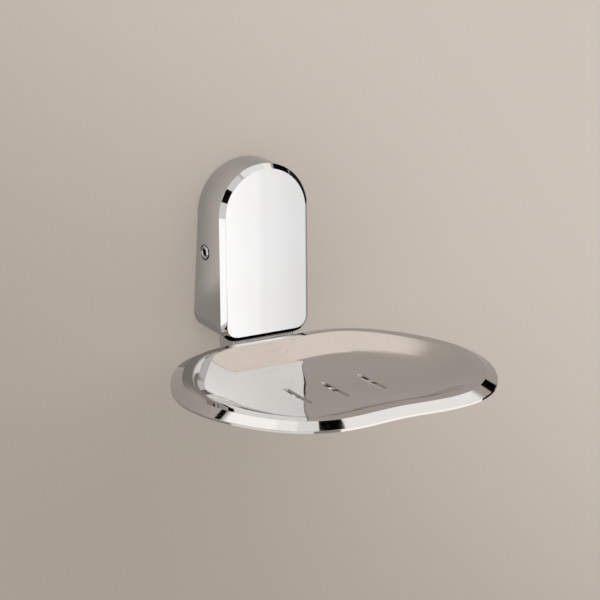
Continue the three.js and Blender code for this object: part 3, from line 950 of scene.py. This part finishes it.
def build_arm():
    plate_back = arm_plate_front - arm_plate
    neck_back = -arm_high.y
    neck_top = cover_bottom + neck_rise
    shoulder = crest_height - rim_top_drop - rim_chamfer_drop - rim_lip - seat_gap
    tongue_bottom = arm_low.z
    tongue_top = tongue_bottom + tongue_thickness
    tip = tongue_thickness / 2
    tip_start = -arm_low.y - tip
    flat_start = -arm_low.y - tongue_flat

    # The outline as depth and height, from the upright's back under the tongue and round to its front
    upper_end = (flat_start, tongue_top)
    lower_end = (flat_start, tongue_bottom)
    smooth = [(neck_back, shoulder)]
    smooth += bend((neck_back, shoulder), (neck_back, tongue_bottom), lower_end)
    smooth += [lower_end]
    smooth += arc(tip_start, tongue_bottom + tip, tip, -QUARTER_TURN, HALF_TURN, arm_curve_steps)
    smooth += [upper_end]
    smooth += bend(upper_end, (neck_front, tongue_top), (neck_front, shoulder))
    smooth += [(neck_front, shoulder)]
    back = [(plate_back, arm_high.z), (plate_back, neck_top), (neck_back, neck_top)]
    front = [(neck_front, neck_top), (arm_plate_front, neck_top), (arm_plate_front, arm_high.z)]
    radii = [arm_corner_radius] * 3
    outline = rounded_polygon(back + smooth + front, radii + [0] * len(smooth) + radii)

    rings = []
    for side in (-1, 1):
        edge = []
        for inset, sink in quarter_round(arm_edge_radius):
            x = side * (arm_high.x - sink)
            edge.append([at(x, depth, z) for depth, z in inset_outline(outline, inset)])
        rings += edge if side < 0 else list(reversed(edge))
    arm = loft("arm", rings)
    cut = []
    for node in arm_screws:
        cut.append(bore(screw_hole_radius, node, plate_back - overlap, arm_plate_front + overlap))
    for node in dish_screws:
        cut.append(bore(screw_hole_radius, node, tongue_bottom - overlap, tongue_top + overlap, upright=True))
    combine(arm, cut, "DIFFERENCE")
    return dress(arm, "polished_arm", chrome, "holder", "support_arm")


def inset_outline(outline, inset):
    """A closed outline in a plane drawn in by an inset, square to its sides."""
    ahead = np.roll(outline, -1, axis=0)
    behind = np.roll(outline, 1, axis=0)
    before = unit(outline - behind)
    after = unit(ahead - outline)
    area = np.sum(outline[:, 0] * ahead[:, 1] - ahead[:, 0] * outline[:, 1])
    turn = 1 if area > 0 else -1
    normal_before = turn * np.stack([-before[:, 1], before[:, 0]], axis=1)
    normal_after = turn * np.stack([-after[:, 1], after[:, 0]], axis=1)
    middle = normal_before + normal_after
    scale = 2 / np.sum(middle * middle, axis=1, keepdims=True)
    return outline + middle * scale * inset


# Screws, washers and plugs


def threaded(pitch, depth, start, end):
    """A helical thread as a change of radius: a ridge of trapezoid form that fades at both ends."""

    def ridge(distance, angle):
        phase = (distance / pitch - angle / FULL_TURN) % 1
        form = min(1, max(0, thread_height_share - abs(phase - 1 / 2) * thread_fall_share))
        fade = min(1, max(0, (distance - start) / pitch)) * min(1, max(0, (end - distance) / pitch))
        return depth * (form - 1) * fade

    return ridge


def cross_screw(node, direction, pitch, head_height, point, body):
    """A screw with a domed head, a cross recess and a helical thread, whose tip is where the node's is."""
    name = "plated_" + node
    low, high, middle = node_box(node)
    along = np.array(direction, float)
    axis = int(np.argmax(np.abs(along)))
    tip = np.array(middle)
    tip[axis] = high[axis] if along[axis] > 0 else low[axis]
    length = high[axis] - low[axis] - head_height
    seat = tip - along * length
    head_radius = (high[(axis + 1) % 3] - low[(axis + 1) % 3]) / 2
    tip_radius = screw_radius - point if point < screw_radius else screw_point_radius
    profile = []
    for step in range(1, dome_steps + 1):
        angle = step / dome_steps * QUARTER_TURN
        profile.append((head_radius * math.sin(angle), -head_height * math.sqrt(max(0, math.cos(angle)))))
    profile += [(head_radius - screw_head_edge, 0), (screw_radius + screw_neck, 0)]
    steps = int((length - point - screw_neck) / pitch * thread_steps)
    profile += run((screw_radius, screw_neck), (screw_radius, length - point), steps)
    steps = max(least_point_steps, int(point / pitch * thread_steps))
    profile += run((screw_radius, length - point), (tip_radius, length), steps)[1:]
    thread = threaded(pitch, screw_thread_depth, screw_thread_start, length - point / 3)
    screw = turned(name, seat, along, profile, screw_sides, thread)

    # The cross recess narrows as it goes down
    across, upward, _ = frame_of(along)
    tools = []
    for one, other in ((across, upward), (upward, across)):
        rings = []
        for height_share, span_share in recess_shares:
            level = seat - along * head_height * height_share
            long = one * head_radius * span_share
            wide = other * head_radius * recess_width_share / 2
            rings.append([level - long - wide, level + long - wide, level + long + wide, level - long + wide])
        tools.append(loft("tool", rings))
    combine(screw, tools, "DIFFERENCE")
    return dress(screw, name, zinc, body, node, screw_sharp_angle)


def build_set_screw():
    low, high, middle = node_box("set_screw")
    radius = (high.z - low.z) / 2
    length = high.x - low.x
    inner = radius - set_chamfer
    steps = int((length - set_chamfer - set_point) / set_pitch * set_thread_steps)
    profile = [(inner - set_face_edge, 0), (inner, set_face_rise)]
    profile += run((radius, set_chamfer), (radius, length - set_point), steps)
    profile.append((radius - set_point, length))
    thread = threaded(set_pitch, set_thread_depth, set_pitch, length - set_pitch / 2)
    screw = turned("set", np.array([low.x, middle.y, middle.z]), (1, 0, 0), profile, set_sides, thread)
    socket = socket_flats / 2 / math.cos(FULL_TURN / 12)
    mouth = np.array([low.x - socket_lead, middle.y, middle.z])
    flare = [(socket + socket_flare, 0), (socket - socket_lead, socket_flare_depth)]
    funnel = turned("tool", mouth, (1, 0, 0), flare, screw_sides)
    hexagon = bar(socket, mouth, (low.x + socket_depth, middle.y, middle.z), 6)
    combine(screw, [hexagon, funnel], "DIFFERENCE")
    name = "hexagon_set_screw"
    return dress(screw, name, chrome, "set_screw_body", "set_screw", screw_sharp_angle)


def turned_ring(name, node, corners, radii):
    """A ring or tube about Y with rounded corners, which starts at the node's front."""
    low, _, middle = node_box(node)
    profile = rounded_polygon(corners, radii, small_fillet_steps)
    return turned(name, np.array([middle.x, low.y, middle.z]), (0, 1, 0), profile, closed=True)


def build_washer(node):
    low, high, _ = node_box(node)
    inner = screw_hole_radius
    outer = (high.x - low.x) / 2
    thickness = high.y - low.y
    corners = [(inner, 0), (outer, 0), (outer, thickness), (inner, thickness)]
    ring = turned_ring("washer", node, corners, [washer_edge_radius] * len(corners))
    return dress(ring, "plated_" + node, zinc, "wall_side", node)


def build_wall_plug(node):
    """A ribbed plug that is open from end to end and split crosswise over its inner part."""
    low, high, middle = node_box(node)
    inner = screw_hole_radius
    outer = (high.x - low.x) / 2
    length = high.y - low.y
    corners = [(inner, 0), (outer, 0), (outer, plug_collar)]
    radii = [plug_edge_radius, plug_collar_radius, plug_edge_radius]
    rib_length = (length - plug_collar) / plug_rib_count
    for rib in range(plug_rib_count):
        start = plug_collar + rib * rib_length
        corners += [(outer - plug_rib_depth, start + plug_rib_depth), (outer, start + rib_length)]
        radii += [plug_edge_radius, plug_rib_radius]
    corners.append((inner, length))
    radii.append(plug_edge_radius)
    plug = turned_ring("plug", node, corners, radii)
    start = low.y + length * plug_slit_start_share
    end = high.y - plug_end_bridge
    slit = plug_slit_half
    tools = [
        block((middle.x - slit, start, low.z - overlap), (middle.x + slit, end, high.z + overlap)),
        block((low.x - overlap, start, middle.z - slit), (high.x + overlap, end, middle.z + slit)),
    ]
    combine(plug, tools, "DIFFERENCE")
    return dress(plug, "ribbed_" + node, nylon, "wall_side", node)


def build_bracket():
    corners = [
        (bracket_high.x, bracket_low.z),
        (bracket_high.x, bracket_high.z),
        (bracket_low.x, bracket_high.z),
        (bracket_low.x, bracket_low.z),
    ]
    outline = rounded_polygon(corners, [bracket_corner] * len(corners), bracket_corner_steps)
    plate = loft("plate", [[at(x, depth, z) for x, z in outline] for depth in (0, bracket_plate)])
    side = bracket_high.x - overlap
    height = bracket_block_height / 2
    clamp = block(at(-side, bracket_plate / 2, -height), at(side, -bracket_low.y, height))
    combine(plate, [clamp], "UNION")
    holes = [bore(bracket_hole_radius, node, -overlap, bracket_plate + overlap) for node in wall_plugs]
    combine(plate, holes, "DIFFERENCE")
    soften(plate, bracket_edge_radius)
    return dress(plate, "plated_bracket", zinc, "wall_side", "wall_bracket")


build_cover()
build_dish()
build_arm()
build_set_screw()
build_bracket()
for place in ("upper", "lower"):
    node = place + "_wall_screw"
    cross_screw(node, (0, 1, 0), wall_screw_pitch, wall_screw_head, wall_screw_point, "wall_side")
    build_washer(place + "_washer")
    build_wall_plug(place + "_wall_plug")
for place in ("left", "right"):
    for node, direction in ((place + "_arm_screw", (0, -1, 0)), (place + "_dish_screw", (0, 0, 1))):
        cross_screw(node, direction, machine_screw_pitch, machine_screw_head, machine_screw_point, "holder")


# Stage


def hide(thing, *rays):
    for ray in rays:
        setattr(thing, "visible_" + ray, False)


def glow_material(name, strength, colour=NEUTRAL, one_sided=False):
    """Light that fades out where the mesh's fade attribute does."""
    material, tree = empty_material(name)
    light = add_node(tree, "Emission", {"Color": (*colour, 1), "Strength": strength})
    clear = add_node(tree, "BsdfTransparent")
    share = add_node(tree, "Attribute", attribute_name="fade").outputs["Fac"]
    if one_sided:
        side = add_node(tree, "NewGeometry").outputs["Backfacing"]
        front = add_node(tree, "Math", {0: 1, 1: side}, operation="SUBTRACT").outputs["Value"]
        share = add_node(tree, "Math", {0: front, 1: share}, operation="MULTIPLY").outputs["Value"]
    mix = add_node(tree, "MixShader", {"Fac": share, 1: clear.outputs["BSDF"], 2: light.outputs["Emission"]})
    add_node(tree, "OutputMaterial", {"Surface": mix.outputs["Shader"]})
    return material


def build_wall():
    """A wall whose colour holds painted shade, darker at the lower left, and which glows in part with that
    colour; it shows only from the room's side.
    """
    corners = [(-1, -1), (1, -1), (1, 1), (-1, 1)]
    points = [(x * WALL_REACH, WALL_GAP, z * WALL_REACH) for x, z in corners]
    wall = new_object("wall", points, [tuple(range(len(points)))])
    material, tree = empty_material("wall_with_painted_shade")
    place = add_node(tree, "TexCoord").outputs["Object"]
    rise = (math.cos(WALL_TONE_ANGLE), 0, math.sin(WALL_TONE_ANGLE))
    along = {
        "Value": add_node(tree, "VectorMath", {0: place, 1: rise}, operation="DOT_PRODUCT").outputs["Value"],
        "From Min": WALL_TONE_MIDDLE - WALL_TONE_WIDTH / 2,
        "From Max": WALL_TONE_MIDDLE + WALL_TONE_WIDTH / 2,
    }
    tone = add_node(tree, "MapRange", along, interpolation_type="SMOOTHSTEP").outputs["Result"]
    colour = add_ramp(tree, tone, [(0, WALL_DARK), (1, WALL_LIGHT)])
    grain = add_noise(tree, *WALL_GRAIN_NOISE)
    paint = {
        "Base Color": colour,
        "Roughness": WALL_ROUGHNESS,
        "Specular IOR Level": 0,
        "Normal": add_bump(tree, grain, WALL_GRAIN_DEPTH, WALL_GRAIN_STRENGTH),
    }
    shader = add_node(tree, "BsdfPrincipled", paint).outputs["BSDF"]
    # The wall glows with part of its painted colour, painted light that no lamp gives
    own = add_node(tree, "Emission", {"Color": colour}).outputs["Emission"]
    lit = add_node(tree, "MixShader", {"Fac": WALL_GLOW_SHARE, 1: shader, 2: own}).outputs["Shader"]
    clear = add_node(tree, "BsdfTransparent").outputs["BSDF"]
    side = add_node(tree, "NewGeometry").outputs["Backfacing"]
    mix = add_node(tree, "MixShader", {"Fac": side, 1: lit, 2: clear})
    add_node(tree, "OutputMaterial", {"Surface": mix.outputs["Shader"]})
    wall.data.materials.append(material)
    hide(wall, "glossy", "diffuse", "shadow")


def build_lamp():
    light = bpy.data.lights.new("key_lamp", "AREA")
    light.shape = "RECTANGLE"
    light.size = LAMP_SIDE
    light.size_y = LAMP_SIDE
    light.energy = LAMP_POWER
    lamp = bpy.data.objects.new("key_lamp", light)
    bpy.context.scene.collection.objects.link(lamp)
    lamp.location = LAMP_PLACE
    lamp.rotation_mode = "QUATERNION"
    lamp.rotation_quaternion = (-Vector(LAMP_PLACE)).to_track_quat("-Z", "Y")
    hide(lamp, "camera", "glossy")


def sky_direction(azimuth, elevation):
    """Azimuth 0 is straight out from the wall, 90 to the right."""
    a = math.radians(azimuth)
    e = math.radians(elevation)
    return Vector((math.sin(a) * math.cos(e), -math.cos(a) * math.cos(e), math.sin(e)))


def soft_step(share):
    share = min(1, max(0, share))
    return share * share * (3 - 2 * share)


def grid_faces(rows, columns):
    """The faces of a grid whose points lie row by row."""
    faces = []
    for row in range(rows):
        for column in range(columns):
            first = row * (columns + 1) + column
            faces.append((first, first + 1, first + columns + 2, first + columns + 1))
    return faces


def sheet_of_light(name, place, soft_shares, material):
    """A grid of points from place(share, share), faded out over the soft shares of its edges."""
    steps = PANEL_STEPS
    points = []
    fades = []
    for i in range(steps + 1):
        for j in range(steps + 1):
            fade = 1
            for share, soft in ((i / steps, soft_shares[0]), (j / steps, soft_shares[1])):
                if soft:
                    fade *= soft_step(min(share, 1 - share) / soft)
            points.append(tuple(place(i / steps, j / steps)))
            fades.append(fade)
    return glowing_sheet(name, points, grid_faces(steps, steps), fades, material)


def glowing_sheet(name, points, faces, fades, material):
    """A stage mesh that only reflections see."""
    sheet = new_object(name, points, faces)
    sheet.data.attributes.new("fade", "FLOAT", "POINT").data.foreach_set("value", fades)
    sheet.data.materials.append(material)
    hide(sheet, "camera", "diffuse", "shadow")
    return sheet


def add_panel(name, azimuths, elevations, soft, strength, distance):
    """A curved panel round the dish between two azimuths and two elevations, seen only in reflections."""

    def place(across, upward):
        azimuth = azimuths[0] + (azimuths[1] - azimuths[0]) * across
        elevation = elevations[0] + (elevations[1] - elevations[0]) * upward
        return STUDIO_MIDDLE + sky_direction(azimuth, elevation) * distance

    shares = (soft / (azimuths[1] - azimuths[0]), soft / (elevations[1] - elevations[0]))
    tint = ROOM_TINT_SHARES if name.endswith("back_panel") else NEUTRAL
    return sheet_of_light(name, place, shares, glow_material(name, strength, tint))


def add_shade_flag():
    def place(across, upward):
        x = SHADE_FOOT + (SHADE_TIP - SHADE_FOOT) * across
        return at(x, SHADE_REACH * across, SHADE_LOW + (SHADE_HIGH - SHADE_LOW) * upward)

    material = glow_material("shade_flag", SHADE_TONE, ROOM_TINT_SHARES, one_sided=True)
    sheet = sheet_of_light("shade_flag", place, (0, SHADE_EDGE_SHARE), material)
    sheet.data.flip_normals()
    return sheet


def add_gap_flag():
    """A black sheet of painted shade for the dark gap between the cover's underside and the rim, as the
    cover's lower bevel sees it.
    """

    def place(across, outward):
        depth = GAP_FLAG_BACK + (cover_depth - GAP_FLAG_BACK) * outward
        return at(cover_half * (2 * across - 1), depth, cover_bottom - GAP_FLAG_DROP)

    return sheet_of_light("gap_flag", place, (0, 0), glow_material("gap_flag", 0, one_sided=True))


def add_strip(name, depth, drop_shares, side_shares, strength, towards_wall):
    """An upright strip at the cover's foot, which fades by height and at its ends and shows from one side; it
    paints shade or a highlight into the reflections that meet it.
    """
    points = []
    fades = []
    for drop, share in drop_shares:
        for across, side_share in side_shares:
            points.append(at(cover_half * across, depth, cover_bottom - drop))
            fades.append(share * side_share)
    faces = grid_faces(len(drop_shares) - 1, len(side_shares) - 1)
    sheet = glowing_sheet(name, points, faces, fades, glow_material(name, strength, one_sided=True))
    upward = drop_shares[0][0] > drop_shares[-1][0]
    if upward == towards_wall:
        sheet.data.flip_normals()
    return sheet


def face_half_width(height):
    """The half width of the cover's flat face at a height."""
    half = cover_half - cover_bevel
    spring = cover_top - cover_half
    foot = cover_bottom + cover_corner
    corner = cover_corner - cover_bevel
    if height > spring:
        return math.sqrt(max(0, half**2 - (height - spring) ** 2))
    if height < foot:
        return half - corner + math.sqrt(max(0, corner**2 - (foot - height) ** 2))
    return half


def build_face_card():
    """Thin slats close to the cover's face, which glow towards it and upwards and paint the face's bright
    reflection, a painted highlight. What leaves the face downwards or level meets them, and what leaves it
    steeply passes between them to the upper front panel."""
    near = cover_depth + SLAT_GAP
    far = near + SLAT_DEPTH
    rise = SLAT_DEPTH * math.tan(SLAT_SLOPE)
    points = []
    faces = []
    height = cover_bottom + cover_bevel - SLAT_SPACING
    while height < cover_top - cover_bevel:
        left = SLAT_LEFT_TRIM - face_half_width(height)
        right = face_half_width(height) + SLAT_RIGHT_REACH
        first = len(points)
        points += [at(left, near, height), at(left, far, height + rise)]
        points += [at(right, far, height + rise), at(right, near, height)]
        faces.append((first, first + 1, first + 2, first + 3))
        height += SLAT_SPACING
    material = glow_material("face_card", FACE_CARD_STRENGTH, one_sided=True)
    tree = material.node_tree
    place = add_node(tree, "SeparateXYZ", {"Vector": add_node(tree, "TexCoord").outputs["Object"]})
    across = {"Value": place.outputs["X"], "From Min": -cover_half, "From Max": cover_half}
    knots = [(share, (tone, tone, tone)) for share, tone in FACE_TONES]
    tones = add_ramp(tree, add_node(tree, "MapRange", across).outputs["Result"], knots, "EASE")
    light = next(node for node in tree.nodes if node.type == "EMISSION")
    tree.links.new(tones, light.inputs["Color"])
    glowing_sheet("face_card", points, faces, [1] * len(points), material)


def add_flank_card():
    """A painted reflection of the wall beside the cover's left flank and arch, as that side sees it, with
    painted shade near the cover: lighter away from the cover.
    """
    first = corner_steps + side_steps + arch_steps // 2
    last = first + arch_steps // 2 + side_steps

    def place(outward, upward):
        ring = cover_back_ring(-FLANK_CARD_WIDTH * outward, FLANK_CARD_DEPTH)
        return ring[round(last + (first - last) * upward)]

    material = glow_material("flank_card", FLANK_CARD_STRENGTH, ROOM_TINT_SHARES, one_sided=True)
    return sheet_of_light("flank_card", place, FLANK_CARD_EDGE_SHARES, material)


def build_world():
    """Even light for matt surfaces, a plain tone for the camera, and a graded room for reflections."""
    world = bpy.data.worlds.new("studio")
    world.use_nodes = True
    tree = world.node_tree
    tree.nodes.clear()
    light = {"Color": (*NEUTRAL, 1), "Strength": EVEN_LIGHT}
    even = add_node(tree, "Background", light).outputs["Background"]
    plain = add_node(tree, "Background", {"Color": (*WALL_LIGHT, 1)}).outputs["Background"]
    direction = add_node(tree, "SeparateXYZ", {"Vector": add_node(tree, "TexCoord").outputs["Generated"]})
    height = add_node(tree, "MapRange", {"Value": direction.outputs["Z"], "From Min": -1, "From Max": 1})
    knots = []
    for elevation, tone in ROOM_TONES:
        place = (math.sin(math.radians(elevation)) + 1) / 2
        knots.append((place, [tone * share for share in ROOM_TINT_SHARES]))
    aside = {
        "Value": direction.outputs["X"],
        "From Min": -1,
        "From Max": 1,
        "To Min": ROOM_LEFT,
        "To Max": ROOM_RIGHT,
    }
    graded = {
        "Color": add_ramp(tree, height.outputs["Result"], knots),
        "Strength": add_node(tree, "MapRange", aside).outputs["Result"],
    }
    room = add_node(tree, "Background", graded).outputs["Background"]
    path = add_node(tree, "LightPath").outputs
    rays = {0: path["Is Glossy Ray"], 1: path["Is Transmission Ray"]}
    gloss = add_node(tree, "Math", rays, operation="MAXIMUM").outputs["Value"]
    lit = add_node(tree, "MixShader", {"Fac": gloss, 1: even, 2: room}).outputs["Shader"]
    seen = add_node(tree, "MixShader", {"Fac": path["Is Camera Ray"], 1: lit, 2: plain}).outputs["Shader"]
    add_node(tree, "OutputWorld", {"Surface": seen})
    bpy.context.scene.world = world


def build_camera():
    """The camera from the photograph's angle, placed by where it sees the origin."""
    camera = bpy.data.cameras.new("camera")
    camera.sensor_width = SENSOR_WIDTH
    camera.lens = SENSOR_WIDTH * FOCAL_PIXELS / IMAGE_SIDE
    camera.clip_start = CAMERA_NEAR
    camera.clip_end = CAMERA_FAR
    level = Vector((math.cos(CAMERA_YAW), -math.sin(CAMERA_YAW), 0))
    forward = Vector(
        (
            math.sin(CAMERA_YAW) * math.cos(CAMERA_PITCH),
            math.cos(CAMERA_YAW) * math.cos(CAMERA_PITCH),
            -math.sin(CAMERA_PITCH),
        )
    )
    upright = level.cross(forward)
    right = level * math.cos(CAMERA_ROLL) + upright * math.sin(CAMERA_ROLL)
    up = upright * math.cos(CAMERA_ROLL) - level * math.sin(CAMERA_ROLL)
    across = (ORIGIN_COLUMN - IMAGE_SIDE / 2) * CAMERA_REACH / FOCAL_PIXELS
    rise = (IMAGE_SIDE / 2 - ORIGIN_ROW) * CAMERA_REACH / FOCAL_PIXELS
    place = -(right * across + up * rise + forward * CAMERA_REACH)
    holder = bpy.data.objects.new("camera", camera)
    bpy.context.scene.collection.objects.link(holder)
    turn = Matrix((right, up, -forward)).transposed()
    holder.matrix_world = Matrix.Translation(place) @ turn.to_4x4()
    bpy.context.scene.camera = holder


build_wall()
build_world()
build_camera()
build_face_card()
build_lamp()
for order, (name, azimuths, elevations, soft, strength) in enumerate(PANELS):
    add_panel(name, azimuths, elevations, soft, strength, PANEL_DISTANCE - order * PANEL_SPACING)
add_shade_flag()
add_gap_flag()
add_strip("neck_flag", NECK_FLAG_DEPTH, NECK_FLAG_SHARES, NECK_FLAG_SIDE_SHARES, NECK_FLAG_STRENGTH, True)
add_strip("rim_card", RIM_CARD_DEPTH, RIM_CARD_SHARES, RIM_CARD_SIDE_SHARES, RIM_CARD_STRENGTH, False)
add_flank_card()

bpy.context.scene.view_settings.view_transform = "Standard"
